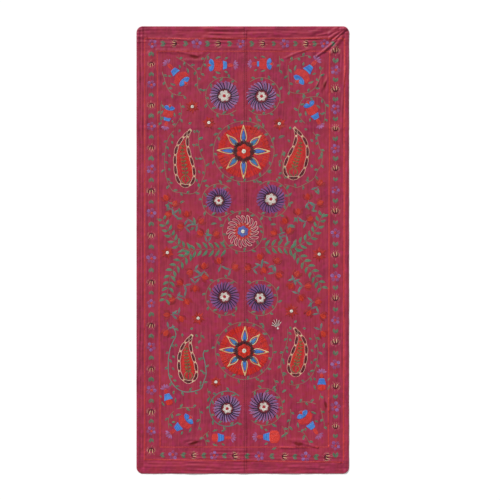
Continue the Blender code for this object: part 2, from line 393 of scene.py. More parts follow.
def silk_floss(name, shade, deep):
    """Lightly twisted silk floss. Each row takes its own tone between two shades, as hand-dyed hanks do.

    The two legs of every chain stitch slant to its middle: they show as a herringbone on the row.
    """
    material = bpy.data.materials.new("silk floss, " + name)
    material.use_nodes = True
    tree = material.node_tree
    shader = tree.nodes["Principled BSDF"]
    tone = add_node(tree, "Attribute", attribute_name="tone").outputs["Fac"]
    colour = add_node(tree, "Mix", {"Factor": tone, "A": linear(deep), "B": linear(shade)}, data_type="RGBA")
    tree.links.new(colour.outputs["Result"], shader.inputs["Base Color"])
    shader.inputs["Roughness"].default_value = 0.5
    shader.inputs["IOR"].default_value = 1.54
    shader.inputs["Specular IOR Level"].default_value = 0.35
    shader.inputs["Sheen Weight"].default_value = 0.06
    shader.inputs["Sheen Roughness"].default_value = 0.35
    lies = add_node(tree, "UVMap", uv_map="stitches").outputs["UV"]
    parts = add_node(tree, "SeparateXYZ", {"Vector": lies})
    side = add_node(tree, "Math", {0: parts.outputs["X"], 1: 0.5}, operation="SUBTRACT").outputs["Value"]
    leg = add_node(tree, "Math", {0: side}, operation="ABSOLUTE").outputs["Value"]
    slant = add_node(tree, "Math", {0: leg, 1: 1.4, 2: parts.outputs["Y"]}, operation="MULTIPLY_ADD")
    turns = add_node(tree, "Math", {0: slant.outputs["Value"], 1: 4 * math.pi}, operation="MULTIPLY")
    twist = add_node(tree, "Math", {0: turns.outputs["Value"]}, operation="SINE")
    bump = add_node(tree, "Bump", {"Height": twist.outputs["Value"], "Strength": 0.5, "Distance": 0.0003})
    tree.links.new(bump.outputs["Normal"], shader.inputs["Normal"])
    return material


def smooth_path(points, closed=False, step=0.5):
    """An even curve through charted points."""
    points = np.array(points, dtype=float)
    if closed:
        ring = np.concatenate([points[-1:], points, points[:2]])
    else:
        ring = np.concatenate([2 * points[:1] - points[1:2], points, 2 * points[-1:] - points[-2:-1]])
    curve = []
    for before, start, end, after in zip(ring, ring[1:], ring[2:], ring[3:]):
        pieces = max(2, math.ceil(np.hypot(*(end - start)) / step))
        for t in np.linspace(0.0, 1.0, pieces, endpoint=False):
            bend = 2 * before - 5 * start + 4 * end - after
            curl = 3 * start - before - 3 * end + after
            curve.append(0.5 * (2 * start + (end - before) * t + bend * t**2 + curl * t**3))
    curve.append(ring[-2])
    return np.array(curve)


def distances(path):
    """How far along a path each of its points lies."""
    return np.concatenate([[0.0], np.cumsum(np.hypot(*np.diff(path, axis=0).T))])


def embroider(name, rows, floss):
    """Lays rows of chain stitch on the cloth as one piece. Each is a crest between two low edges, pinched where one
    stitch comes up through the last."""
    points, faces, marks, tones = [], [], [], []
    first = 0
    for row in rows:
        path = np.asarray(row.path, dtype=float)
        gone = distances(path)
        stitches = max(1, round(gone[-1] / STITCH_LENGTH))
        along = np.linspace(0.0, gone[-1], 2 * stitches + 1)
        x = np.interp(along, gone, path[:, 0])
        y = np.interp(along, gone, path[:, 1])
        width = np.interp(along, gone, np.broadcast_to(row.width, gone.shape))
        heading_x = np.gradient(x)
        heading_y = np.gradient(y)
        length = np.maximum(np.hypot(heading_x, heading_y), 1e-9)
        middle = np.arange(len(along)) % 2
        plump = 0.84 + 0.16 * middle
        plump[0] = plump[-1] = 0.5
        side_x = -heading_y / length * width / 2 * plump
        side_y = heading_x / length * width / 2 * plump
        crest = STITCH_CREST * plump * np.clip(width / ROW_WIDTH, 0.5, 1.15) + LAYER_RISE * row.layer
        edge = LAYER_RISE * row.layer - STITCH_SINK
        points.append(np.stack([x + side_x, y + side_y, np.full_like(x, edge)], axis=-1))
        points.append(np.stack([x, y, crest], axis=-1))
        points.append(np.stack([x - side_x, y - side_y, np.full_like(x, edge)], axis=-1))
        count = len(along)
        left = first + np.arange(count - 1)
        crown = left + count
        right = crown + count
        faces.append(np.stack([crown, crown + 1, left + 1, left], axis=-1))
        faces.append(np.stack([right, right + 1, crown + 1, crown], axis=-1))
        run = np.arange(count) / 2
        for across in (0.0, 0.5, 1.0):
            marks.append(np.stack([np.full(count, across), run], axis=-1))
        tones.append(np.full(3 * count, tone_random.uniform(0.0, 1.0)))
        first += 3 * count
    points = np.concatenate(points) * CM
    points[:, 2] += cloth_top(points[:, 0], points[:, 1])
    faces = np.concatenate(faces)
    piece = new_piece(name, points, faces, floss)
    mesh = piece.data
    mesh.uv_layers.new(name="stitches").uv.foreach_set("vector", np.concatenate(marks)[faces.ravel()].ravel())
    mesh.attributes.new("tone", "FLOAT", "POINT").data.foreach_set("value", np.concatenate(tones))
    return piece


guard_rows = []
for guard in GUARD_LINES:
    start = np.array([guard.from_x, guard.from_y])
    end = np.array([guard.to_x, guard.to_y])
    run = (end - start) / np.hypot(*(end - start))
    across = np.array([-run[1], run[0]])
    along = np.linspace(0.0, 1.0, 60)
    sway = 0.12 * (ripples(along * 2, along * 0, int(abs(start).sum()), 0.6, 0, 0) - 0.5)
    for side in (-0.19, 0.19):
        middle = start + along[:, None] * (end - start)
        guard_rows.append(Row(middle + across * (side + sway)[:, None], 0.38, 0))
embroider("guard_lines", guard_rows, silk_floss("orange-red", "#DC4438", "#B02838"))

# Seam and hem sewing
# Crimson silk thread sews the two widths edge to edge. A row of running stitches on each side of the seam holds its
# pressed-open allowances, and small slip stitches hold the hem.
SEAM_ROW = 0.75
SEAM_SPACING = 0.95
HEM_ROW = 1.85
HEM_SPACING = 1.4

seam_middle = SEAM_X / CM
seam_reach = (CLOTH_LENGTH / 2 - HEM_PLACES[1]) / CM
seam_rows = [Row([(seam_middle, -seam_reach), (seam_middle, seam_reach)], 0.3, 0)]
for stitch_y in np.arange(-seam_reach + 0.5, seam_reach - 0.5, SEAM_SPACING):
    for side in (-SEAM_ROW, SEAM_ROW):
        seam_rows.append(Row([(seam_middle + side, stitch_y), (seam_middle + side, stitch_y + 0.62)], 0.36, 0))
hem_rows = []
side_line = CLOTH_WIDTH / 2 / CM - HEM_ROW
end_line = CLOTH_LENGTH / 2 / CM - HEM_ROW
for along in np.arange(-end_line + 1, end_line - 1, HEM_SPACING):
    for side in (-side_line, side_line):
        hem_rows.append(Row([(side, along), (side, along + 0.5)], 0.22, 0))
for along in np.arange(-side_line + 1, side_line - 1, HEM_SPACING):
    for end in (-end_line, end_line):
        hem_rows.append(Row([(along, end), (along + 0.5, end)], 0.22, 0))
sewing_thread = silk_floss("sewing thread, crimson", "#8E2238", "#5E1022")
embroider("seam_sewing", seam_rows, sewing_thread)
embroider("hem_sewing", hem_rows, sewing_thread)

# Border flowers
# Between the guard lines run small carnations and purple flowers, with a green sprig between each two. The carnations
# have a dark forked heart, cream stitches in it and pale pink petals, and face along the border. The purple flowers
# are turned any way. All are worked in chain stitch in silk floss.

# Places of the carnations along each side, in centimetres from the cloth's middle, going round anticlockwise
LEFT_BAND_X = -45.2
RIGHT_BAND_X = 45.8
TOP_BAND_Y = 101.9
BOTTOM_BAND_Y = -101.3
LEFT_CARNATIONS = (91.9, 71.6, 50.6, 29.2, 7.4, -15.8, -37.1, -58.6, -79.8, -98.8)
BOTTOM_CARNATIONS = (-24.3, -4.0, 20.5, 41.5)
RIGHT_CARNATIONS = (-87.3, -67.5, -45.5, -24.0, -2.5, 19.0, 40.2, 59.8, 79.3, 98.3)
TOP_CARNATIONS = (31.4, 10.0, -11.9, -33.7)
# Flowers that start or end a side, where no carnation stands beyond them
Extra = collections.namedtuple("Extra", "flower x y heading")
EXTRA_FLOWERS = [
    Extra("sprig", -45.2, 96.8, -90),
    Extra("sprig", -39.7, -101.3, 0),
    Extra("purple", -34.4, -101.3, 0),
    Extra("sprig", -29.3, -101.3, 0),
    Extra("sprig", 45.8, -91.9, 90),
    Extra("purple", 45.8, -96.6, 90),
    Extra("sprig", 45.8, -101.3, 90),
    Extra("sprig", 35.5, 101.9, 180),
    Extra("purple", 40.4, 101.9, 180),
    Extra("sprig", 44.6, 101.9, 180),
    Extra("sprig", -39.4, 101.9, 180),
    Extra("purple", -44.5, 101.9, 180),
]


def line(points, width=ROW_WIDTH, layer=0):
    """One row of stitches through charted points."""
    return Row(smooth_path(points), width, layer)


def petal(base, tip, breadth, rows=3, bow=0.0, belly=0.5, layer=0):
    """Rows side by side that fill a petal or a leaf from its base to its tip. The belly is its widest place."""
    base = np.array(base, dtype=float)
    run = np.array(tip, dtype=float) - base
    across = np.array([-run[1], run[0]]) / np.hypot(*run)
    along = np.linspace(0.0, 1.0, 13)
    half = breadth / 2 * np.sin(np.pi * along ** (math.log(0.5) / math.log(belly))).clip(0.0) ** 0.8
    spine = base + along[:, None] * run + across * (bow * np.sin(np.pi * along))[:, None]
    filled = []
    for number in range(rows):
        side = (2 * number + 1) / rows - 1
        path = spine + across * (side * half)[:, None]
        filled.append(Row(path, np.maximum(2.2 * half / rows, 0.14), layer))
    return filled


def dot(x, y, radius, layer=0, row_width=ROW_WIDTH):
    """A spiral of stitches that fills a small round."""
    turns = max(1.0, radius / row_width)
    angle = np.linspace(0.0, 2 * math.pi * turns, max(8, round(10 * turns)))
    reach = (radius - row_width / 2) * np.sqrt(angle / angle[-1])
    return [Row(np.stack([x + reach * np.cos(angle), y + reach * np.sin(angle)], axis=-1), row_width * 1.1, layer)]


def polar(radius, degrees):
    """A place at a distance and an angle from a motif's own middle."""
    return radius * math.cos(math.radians(degrees)), radius * math.sin(math.radians(degrees))


def place(rows, x, y, heading=0.0, size=1.0):
    """Turns a motif's rows and moves them to their place on the cloth."""
    turn = math.radians(heading)
    spin = np.array([[math.cos(turn), math.sin(turn)], [-math.sin(turn), math.cos(turn)]])
    return [Row(np.asarray(row.path) * size @ spin + (x, y), row.width * np.float64(size), row.layer) for row in rows]


def add_motif(work, motif, x, y, heading=0.0, size=1.0):
    """Places a motif and adds its rows, colour by colour, to the work of its kind."""
    for colour, rows in motif.items():
        work[colour] += place(rows, x, y, heading, size)


def carnation():
    """A small carnation with its stem at the left, opening to the right."""
    rows = {"brown": [], "cream": [], "pink": []}
    rows["brown"].append(line([(0.9, 1.25), (0.0, 1.25), (-0.8, 0.65), (-1.0, 0.0), (-0.8, -0.65), (0.0, -1.25),
                               (0.9, -1.25)], 0.56))
    rows["brown"] += petal((-1.0, 0.0), (0.9, 0.0), 0.7, rows=2, belly=0.4)
    rows["pink"].append(line([(-2.5, 0.4), (-1.9, 0.15), (-1.3, 0.0)], 0.28))
    for side in (-1, 1):
        rows["cream"].append(line([(-0.4, 0.42 * side), (0.3, 0.62 * side), (1.5, 0.75 * side)], 0.34, 1))
        rows["cream"].append(line([(1.0, 1.5 * side), (0.0, 1.75 * side), (-0.8, 1.5 * side)], 0.2))
        rows["pink"].append(line([(-1.6, 1.0 * side), (-0.8, 2.0 * side), (0.8, 2.3 * side)], 0.22))
        rows["pink"].append(line([(1.3, 0.3 * side), (2.5, 0.55 * side)], 0.3))
        rows["pink"].append(line([(1.3, 1.2 * side), (2.3, 1.6 * side)], 0.28))
    return rows


def purple_flower():
    """Five broad petals round a flame dot, three in mauve and two in a bright lilac."""
    rows = {"lilac": [], "mauve": [], "flame": dot(0.3, 0.0, 0.7, 1)}
    for number in range(5):
        colour = "lilac" if number in (0, 2) else "mauve"
        angle = 20 + 72 * number
        rows[colour] += petal(polar(0.5, angle), polar(2.5, angle), 1.8, rows=4, belly=0.58)
    return rows


def sprig():
    """Two grey-green leaves that part from a short stem."""
    rows = {"green": [line([(-1.5, 0.0), (0.0, 0.0)], 0.3)]}
    for side in (-1, 1):
        rows["green"] += petal((-1.0, 0.2 * side), (1.2, 0.95 * side), 1.4, rows=3, bow=0.1 * side)
    return rows


border_rows = collections.defaultdict(list)
BORDER_MOTIFS = {"carnation": carnation, "purple": purple_flower, "sprig": sprig}
border_random = np.random.default_rng(31)


def add_border(flower, x, y, heading):
    """Works one flower of the border, a little out of true as hand work is."""
    sway = 180 if flower == "purple" else 10
    turn = heading + border_random.uniform(-sway, sway)
    size = border_random.uniform(0.88, 1.08)
    add_motif(border_rows, BORDER_MOTIFS[flower](), x, y, turn, size)


def add_side(carnations, spot, heading):
    """Works one side of the border: carnations, with a sprig, a purple flower and a sprig between each two."""
    for number, here in enumerate(carnations):
        add_border("carnation", *spot(here), heading)
        if number + 1 < len(carnations):
            there = carnations[number + 1]
            for share, flower in ((0.25, "sprig"), (0.5, "purple"), (0.75, "sprig")):
                add_border(flower, *spot(here + share * (there - here)), heading)


add_side(LEFT_CARNATIONS, lambda along: (LEFT_BAND_X, along), -90)
add_side(BOTTOM_CARNATIONS, lambda along: (along, BOTTOM_BAND_Y - 0.4 - 0.014 * along), 0)
add_side(RIGHT_CARNATIONS, lambda along: (RIGHT_BAND_X, along), 90)
add_side(TOP_CARNATIONS, lambda along: (along, TOP_BAND_Y), 180)
for extra in EXTRA_FLOWERS:
    add_border(extra.flower, extra.x, extra.y, extra.heading)
brown_floss = silk_floss("dark brown", "#3E150D", "#240909")
cream_floss = silk_floss("cream", "#E8CFA0", "#CFA874")
pink_floss = silk_floss("rose pink", "#C8887A", "#AE5A66")
lilac_floss = silk_floss("lilac", "#9878B4", "#84549A")
mauve_floss = silk_floss("mauve", "#9A5086", "#8C3E6C")
flame_floss = silk_floss("flame", "#E0402A", "#C42A28")
leaf_floss = silk_floss("leaf green", "#5A9074", "#3C7058")
embroider("border_carnation_hearts", border_rows["brown"], brown_floss)
embroider("border_carnation_loops", border_rows["cream"], cream_floss)
embroider("border_carnation_petals", border_rows["pink"], pink_floss)
embroider("border_lilac_petals", border_rows["lilac"], lilac_floss)
embroider("border_mauve_petals", border_rows["mauve"], mauve_floss)
embroider("border_purple_hearts", border_rows["flame"], flame_floss)
embroider("border_sprigs", border_rows["green"], silk_floss("sprig green", "#588068", "#387052"))

# Rosettes
# Eight round flowers in pairs. Each has a white star with a red eye in a ring of maroon, and then rays of lilac
# floss parted by dark plum wedges. The rays turn a little, and crimson stitches fringe them.
# Rosettes nearer than this to the middle, along the cloth, have violet rays. The others have lilac ones.
VIOLET_WITHIN = 60
ROSETTE_RAYS = 24
# The star is the reach of a rosette's white petals, as a share of its radius.
Rosette = collections.namedtuple("Rosette", "x y radius start swirl star")
ROSETTES = [
    Rosette(-9.1, 76.1, 7.4, 10, 10, 0.41),
    Rosette(9.3, 75.9, 7.4, 0, 22, 0.35),
    Rosette(-11.9, 24.4, 6.4, 5, 12, 0.35),
    Rosette(13.9, 25.1, 7.2, 20, 14, 0.42),
    Rosette(-9.0, -23.1, 7.4, 12, -10, 0.34),
    Rosette(8.6, -23.7, 6.9, 3, 14, 0.36),
    Rosette(-7.7, -78.4, 6.9, 8, 12, 0.36),
    Rosette(10.5, -77.5, 7.4, 15, -12, 0.33),
]


def spoke(inner, outer, degrees, swirl, inner_width, outer_width, layer=0):
    """A row that runs out from a motif's middle and turns as it goes."""
    along = np.linspace(0.0, 1.0, 9)
    reach = inner + (outer - inner) * along
    angle = np.radians(degrees + swirl * along)
    path = np.stack([reach * np.cos(angle), reach * np.sin(angle)], axis=-1)
    return Row(path, inner_width + (outer_width - inner_width) * along, layer)


def hoop(radius, width=ROW_WIDTH, layer=0, wobble=0.0, beats=12):
    """A closed round row, even or gently scalloped."""
    angle = np.linspace(0.0, 2 * math.pi, 97)
    reach = radius + wobble * np.cos(beats * angle)
    return Row(np.stack([reach * np.cos(angle), reach * np.sin(angle)], axis=-1), width, layer)


def rosette(radius, start, swirl, star, random):
    """A rosette round its own middle."""
    rows = collections.defaultdict(list)
    rows["red"] += dot(0.0, 0.0, 0.12 * radius, 1)
    for number in range(6):
        angle = start + 60 * number + random.uniform(-4, 4)
        reach = random.uniform(star - 0.02, star + 0.01) * radius
        rows["white"] += petal(polar(0.05 * radius, angle), polar(reach, angle), 0.67 * star * radius, rows=4,
                               belly=0.55)
    for share, width, layer in ((0.25, 0.4, -0.7), (0.31, 0.5, -0.7), (0.37, 0.5, -0.6)):
        rows["maroon"].append(hoop(share * radius, width, layer))
    rows["maroon"].append(hoop((star + 0.06) * radius, 0.42, 0, 0.08, 12))
    for number in range(ROSETTE_RAYS):
        angle = start + 360 * (number + random.uniform(-0.14, 0.14)) / ROSETTE_RAYS
        reach = random.uniform(0.86, 0.99) * radius
        rows["plum"].append(spoke(0.40 * radius, reach, angle, swirl, 0.74, 0.42, 1))
        for side, far in ((-0.22, 0.96), (0.04, 1.02), (0.26, 0.96)):
            far = far * radius * random.uniform(0.96, 1.04)
            turn = angle + 360 * (0.5 + side) / ROSETTE_RAYS
            rows["lilac"].append(spoke(0.46 * radius, far, turn, swirl, 0.26, 0.46))
        fringe = angle + swirl
        rows["crimson"].append(spoke(0.96 * radius, 1.08 * radius, fringe, 2, 0.3, 0.26))
    return rows


rosette_random = np.random.default_rng(76)
rosette_rows = collections.defaultdict(list)
for flower in ROSETTES:
    motif = rosette(flower.radius, flower.start, flower.swirl, flower.star, rosette_random)
    if abs(flower.y) < VIOLET_WITHIN:
        motif["violet"] = motif.pop("lilac")
    add_motif(rosette_rows, motif, flower.x, flower.y)
white_floss = silk_floss("white", "#F1EFE6", "#DCDDD0")
red_floss = silk_floss("red", "#C92B34", "#AE2030")
maroon_floss = silk_floss("maroon", "#561019", "#3C0B14")
plum_floss = silk_floss("plum", "#301436", "#180820")
ray_floss = silk_floss("dark lilac", "#A488BC", "#6E4482")
crimson_floss = silk_floss("crimson", "#B02C5C", "#941F48")
embroider("rosette_stars", rosette_rows["white"], white_floss)
embroider("rosette_eyes", rosette_rows["red"], red_floss)
embroider("rosette_rings", rosette_rows["maroon"], maroon_floss)
embroider("rosette_wedges", rosette_rows["plum"], plum_floss)
embroider("rosette_rays", rosette_rows["lilac"], ray_floss)
embroider("rosette_violet_rays", rosette_rows["violet"], silk_floss("violet", "#8660A4", "#643C7C"))
embroider("rosette_fringes", rosette_rows["crimson"], crimson_floss)

# Medallions
# Two large discs of orange-red floss, worked in rows from the middle outwards, with deep red rows at the rim. Eight
# slim petals lie over each, blue or teal with straw edges and a peach tip, round a red flower with a white eye.
MEDALLION_PETALS = (90, 45, 0, -45, -90, -135, 180, 135)
DISC_ROWS = 72
SHADE_ROWS = 44
RING_ROWS = 32
Round = collections.namedtuple("Round", "x y radius start")
MEDALLIONS = [
    Round(0.5, 48.7, 13.1, -3),
    Round(0.7, -49.8, 12.3, 1),
]


def medallion(radius, start, random):
    """A medallion round its own middle."""
    rows = collections.defaultdict(list)
    for number in range(DISC_ROWS):
        angle = 360 * number / DISC_ROWS
        step = 360 / DISC_ROWS
        rim = radius * random.uniform(0.975, 1.015)
        rows["disc"].append(spoke(0.36 * radius, rim, angle, 0, 0.42, 0.32))
        rim = radius * random.uniform(0.975, 1.015)
        rows["disc"].append(spoke(0.56 * radius, rim, angle + step / 2, 0, 0.32, 0.32))
        for share in (0.25, 0.75):
            rim = radius * random.uniform(0.965, 1.01)
            rows["disc"].append(spoke(0.76 * radius, rim, angle + step * share, 0, 0.26, 0.3))
    for number, angle in enumerate(MEDALLION_PETALS):
        angle = angle + start + random.uniform(-4, 4)
        far = radius * (random.uniform(0.89, 0.94) if number % 2 else random.uniform(0.97, 1.02))
        near = 0.40 * radius
        colour = "teal" if number % 2 else "blue"
        rows[colour] += petal(polar(near - 0.7, angle), polar(far - 2.2, angle), 1.85, rows=4, belly=0.36, layer=2)
        for side in (-1, 1):
            edge = [polar(near, angle + 9.5 * side), polar(near + 1.3, angle + 12.5 * side),
                    polar(near + 3.0, angle + 9.0 * side), polar(far - 1.9, angle + 3.0 * side), polar(far, angle)]
            rows["edge"].append(line(edge, 0.42, 2))
        rows["tip"].append(line([polar(far - 1.8, angle), polar(far + 0.1, angle)], 0.5, 3))
        rows["maroon"] += petal(polar(0.30 * radius, angle), polar(0.47 * radius, angle), 1.7, rows=3, layer=3)
    for number in range(SHADE_ROWS):
        angle = 360 * number / SHADE_ROWS + random.uniform(-2, 2)
        near = radius * random.uniform(0.62, 0.8)
        rows["shade"].append(spoke(near, radius * random.uniform(0.99, 1.03), angle, 0, 0.16, 0.3, 1))
    for number in range(RING_ROWS):
        angle = 360 * number / RING_ROWS
        far = radius * (0.43 if number % 2 else 0.39)
        rows["maroon"].append(spoke(0.12 * radius, far, angle, 3, 0.4, 1.05, 1))
    for number in range(6):
        angle = start + 60 * number + 30
        rows["red"] += petal(polar(0.5, angle), polar(0.28 * radius, angle), 2.9, rows=6, belly=0.6, layer=2)
    rows["white"] += dot(0.0, 0.0, 1.15, 4)
    return rows


medallion_random = np.random.default_rng(48)
medallion_rows = collections.defaultdict(list)
for flower in MEDALLIONS:
    add_motif(medallion_rows, medallion(flower.radius, flower.start, medallion_random), flower.x, flower.y)
disc_floss = silk_floss("orange", "#E22E0C", "#C0140C")
blue_floss = silk_floss("blue", "#4682CE", "#3064B2")
teal_floss = silk_floss("teal", "#4088C2", "#2E78A0")
straw_floss = silk_floss("straw", "#DCD4A4", "#C2AE78")
peach_floss = silk_floss("peach", "#E6C088", "#D6A468")
embroider("medallion_discs", medallion_rows["disc"], disc_floss)
embroider("medallion_blue_petals", medallion_rows["blue"], blue_floss)
embroider("medallion_teal_petals", medallion_rows["teal"], teal_floss)
embroider("medallion_petal_edges", medallion_rows["edge"], straw_floss)
embroider("medallion_petal_tips", medallion_rows["tip"], peach_floss)
embroider("medallion_shading", medallion_rows["shade"], silk_floss("deep red", "#A41418", "#860E1C"))
embroider("medallion_rings", medallion_rows["maroon"], maroon_floss)
embroider("medallion_flowers", medallion_rows["red"], disc_floss)
embroider("medallion_eyes", medallion_rows["white"], white_floss)

# Middle rosette
# A blue flower with a white eye stands at the middle, in a ring of flame floss set with small yellow stitches. Round
# it nineteen curved petals turn like a wheel, drawn in pale pink, with a crimson row inside and a wine one beside.
MIDDLE_X = 0.1
MIDDLE_Y = 9.2
MIDDLE_RADIUS = 8.2
MIDDLE_PETALS = 19
MIDDLE_DOTS = 14

middle_rows = collections.defaultdict(list)
for number in range(MIDDLE_PETALS):
    angle = 360 * number / MIDDLE_PETALS
    reach = MIDDLE_RADIUS * (1.0 if number % 2 else 0.95)
    half_turn = 360 / MIDDLE_PETALS * 0.36
    loop = [polar(0.48 * MIDDLE_RADIUS, angle), polar(0.70 * MIDDLE_RADIUS, angle + 6 - half_turn),
            polar(0.92 * reach, angle + 14 - half_turn * 0.9), polar(reach, angle + 18),
            polar(0.90 * reach, angle + 15 + half_turn * 0.5),
            polar(0.70 * MIDDLE_RADIUS, angle + 6 + half_turn * 0.6), polar(0.49 * MIDDLE_RADIUS, angle + 3)]
    middle_rows["shell"].append(line(loop, 0.46))
    middle_rows["crimson"].append(spoke(0.56 * MIDDLE_RADIUS, 0.86 * reach, angle + 4, 10, 0.3, 0.44))
    gap = angle + 180 / MIDDLE_PETALS
    middle_rows["wine"].append(spoke(0.52 * MIDDLE_RADIUS, 0.97 * MIDDLE_RADIUS, gap - 2, 17, 0.44, 0.6))
middle_rows["flame"] += [hoop(0.37 * MIDDLE_RADIUS, 0.4, 0, 0.05, 9), hoop(0.42 * MIDDLE_RADIUS, 0.4, 0, 0.05, 9)]
for number in range(MIDDLE_DOTS):
    middle_rows["flame"] += dot(*polar(0.50 * MIDDLE_RADIUS, 360 * number / MIDDLE_DOTS), 0.5, 1, 0.3)
    between = 360 * (number + 0.5) / MIDDLE_DOTS
    middle_rows["yellow"] += dot(*polar(0.45 * MIDDLE_RADIUS, between), 0.34, 2, 0.28)
for number in range(6):
    angle = 60 * number + 22
    middle_rows["blue"] += petal(polar(0.5, angle), polar(0.34 * MIDDLE_RADIUS, angle), 2.1, rows=5, belly=0.6)
middle_rows["white"] += dot(0.0, 0.0, 1.0, 2)
middle_rows = {colour: place(rows, MIDDLE_X, MIDDLE_Y) for colour, rows in middle_rows.items()}
shell_floss = silk_floss("shell pink", "#E6B2AC", "#CC868A")
yellow_floss = silk_floss("yellow", "#F6C88A", "#EBA45E")
embroider("middle_petal_loops", middle_rows["shell"], shell_floss)
embroider("middle_petal_hearts", middle_rows["crimson"], crimson_floss)
embroider("middle_petal_gaps", middle_rows["wine"], silk_floss("wine red", "#580C28", "#38061A"))
embroider("middle_ring", middle_rows["flame"], flame_floss)
embroider("middle_ring_dots", middle_rows["yellow"], yellow_floss)
embroider("middle_flower", middle_rows["blue"], blue_floss)
embroider("middle_eye", middle_rows["white"], white_floss)

# Paisleys
# Four tall drops with a leaning tip, filled with red rows. A band of dark beads goes round each, held between two
# peach lines that draw in at straw knots between the beads, and a small green vine grows up the middle.
Paisley = collections.namedtuple("Paisley", "foot_x foot_y tip_x tip_y breadth bow beads")
PAISLEYS = [
    Paisley(-28.6, 30.6, -25.3, 60.6, 11.2, 3.3, 13),
    Paisley(25.0, 34.4, 25.2, 61.6, 12.1, -3.4, 11),
    Paisley(-27.1, -66.2, -24.7, -40.8, 10.5, 2.4, 11),
    Paisley(26.3, -62.9, 25.2, -37.3, 10.0, -3.0, 11),
]
BEAD_HALF_WIDTH = 0.70
BEAD_STEPS = 12
FILL_SPACING = 0.34
BAND_INSET = 0.95


def drop_edge(paisley, inset, places, side=None):
    """Places round a paisley, inset from its outer edge. It goes up the left-hand side and down the right, or with
    a side of 0 along its middle from foot to tip and back."""
    foot = np.array([paisley.foot_x, paisley.foot_y])
    run = np.array([paisley.tip_x, paisley.tip_y]) - foot
    length = np.hypot(*run)
    across = np.array([-run[1], run[0]]) / length
    turn = np.linspace(0.0, 1.0, places)
    up = 0.5 - 0.5 * np.cos(2 * np.pi * turn)
    if side is None:
        side = np.where(turn < 0.5, 1.0, -1.0)
    half = np.maximum(paisley.breadth / 2 * np.sin(np.pi * up**0.53).clip(0.0) ** 0.75 - inset, 0.0)
    reach = inset / length + up * (1 - 2 * inset / length)
    spine = foot + reach[:, None] * run + across * (paisley.bow * np.sin(np.pi * up**1.8))[:, None]
    return spine + across * (side * half)[:, None]


def even_path(path, count):
    """The same curve with evenly spaced points."""
    gone = distances(path)
    marks = np.linspace(0.0, gone[-1], count)
    return np.stack([np.interp(marks, gone, path[:, 0]), np.interp(marks, gone, path[:, 1])], axis=-1)


paisley_rows = collections.defaultdict(list)
for paisley in PAISLEYS:
    band = even_path(drop_edge(paisley, BAND_INSET, 241), paisley.beads * BEAD_STEPS + 1)
    heading = np.gradient(band, axis=0)
    outward = np.stack([-heading[:, 1], heading[:, 0]], axis=-1) / np.hypot(*heading.T)[:, None]
    swell = np.abs(np.cos(np.pi * np.arange(len(band)) / BEAD_STEPS)) ** 0.5
    for side in (-1, 1):
        edge = band + outward * (side * (0.40 + 0.36 * swell))[:, None]
        paisley_rows["cream"].append(Row(edge, 0.26, 1))
    for bead in range(paisley.beads):
        start = (bead + 0.5) * BEAD_STEPS
        part = np.arange(start + 2, start + BEAD_STEPS - 1).astype(int) % (len(band) - 1)
        for side in (-0.5, 0.5):
            path = band[part] + outward[part] * (side * BEAD_HALF_WIDTH * swell[part])[:, None]
            paisley_rows["bead"].append(Row(path, 0.80 * swell[part] + 0.06, 0))
        knot = np.arange(start - 1, start + 2).astype(int)
        for side in (-0.26, 0.26):
            paisley_rows["knot"].append(Row(band[knot] + outward[knot] * side, 0.5, 1))
    inset = BAND_INSET + 1.1
    while inset < paisley.breadth / 2 - 0.2:
        ring = drop_edge(paisley, inset, 121)
        inside = np.hypot(*(ring - drop_edge(paisley, inset, 121, 0.0)).T) > 0.1
        paisley_rows["red"].append(Row(ring[inside], 0.36, 0))
        inset += FILL_SPACING
    stem = even_path(drop_edge(paisley, 2.4, 121, 0.0)[6:42], 11)
    paisley_rows["green"].append(Row(stem, 0.26, 1))
    for number in range(2, 10):
        heading = math.degrees(math.atan2(*(stem[number + 1] - stem[number - 1])[::-1]))
        for side in (-1, 1):
            leaf = petal((0.3, 0.0), (2.3 - 0.13 * number, 0.0), 0.9, rows=3, layer=1)
            paisley_rows["green"] += place(leaf, *stem[number], heading + 52 * side)
    for side in (-1, 1):
        start = stem[0]
        paisley_rows["green"].append(line([start + (0.2 * side, 3.4), start + (1.7 * side, 2.2),
                                           start + (1.9 * side, 0.4), start + (0.4 * side, -0.9)], 0.45, 1))
embroider("paisley_band_lines", paisley_rows["cream"], silk_floss("pale peach", "#F2C8B0", "#DE9E8E"))
embroider("paisley_knots", paisley_rows["knot"], straw_floss)
embroider("paisley_beads", paisley_rows["bead"], silk_floss("bead brown", "#541316", "#3A0C10"))
embroider("paisley_fills", paisley_rows["red"], disc_floss)
embroider("paisley_inner_vines", paisley_rows["green"], silk_floss("moss green", "#6E7E4A", "#40603A"))

